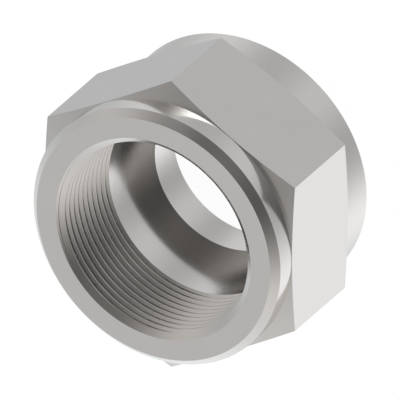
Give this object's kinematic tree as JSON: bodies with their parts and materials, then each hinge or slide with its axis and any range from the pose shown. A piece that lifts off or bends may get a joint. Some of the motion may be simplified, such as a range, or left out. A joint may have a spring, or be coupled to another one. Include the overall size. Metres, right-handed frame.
{
  "type": "tube nut",
  "caption": "Hexagon tube nut with turned collars, internal fine thread at the mouth, flat shoulder and plain tube bore at the rear.",
  "frame": {"origin": "centre of the rear face, the end where the tube comes out; the nut stands on this face", "axes": "+Z along the nut's axis towards the threaded mouth; +Y through a corner of the hexagon; +X square to one of its flats"},
  "size_m": [0.065, 0.075, 0.0425],
  "materials": {
    "turned_stainless": "fine turned and milled stainless steel, smooth satin to bright"
  },
  "bodies": {
    "root": {"tube_nut": "turned_stainless"}
  },
  "joints": []
}
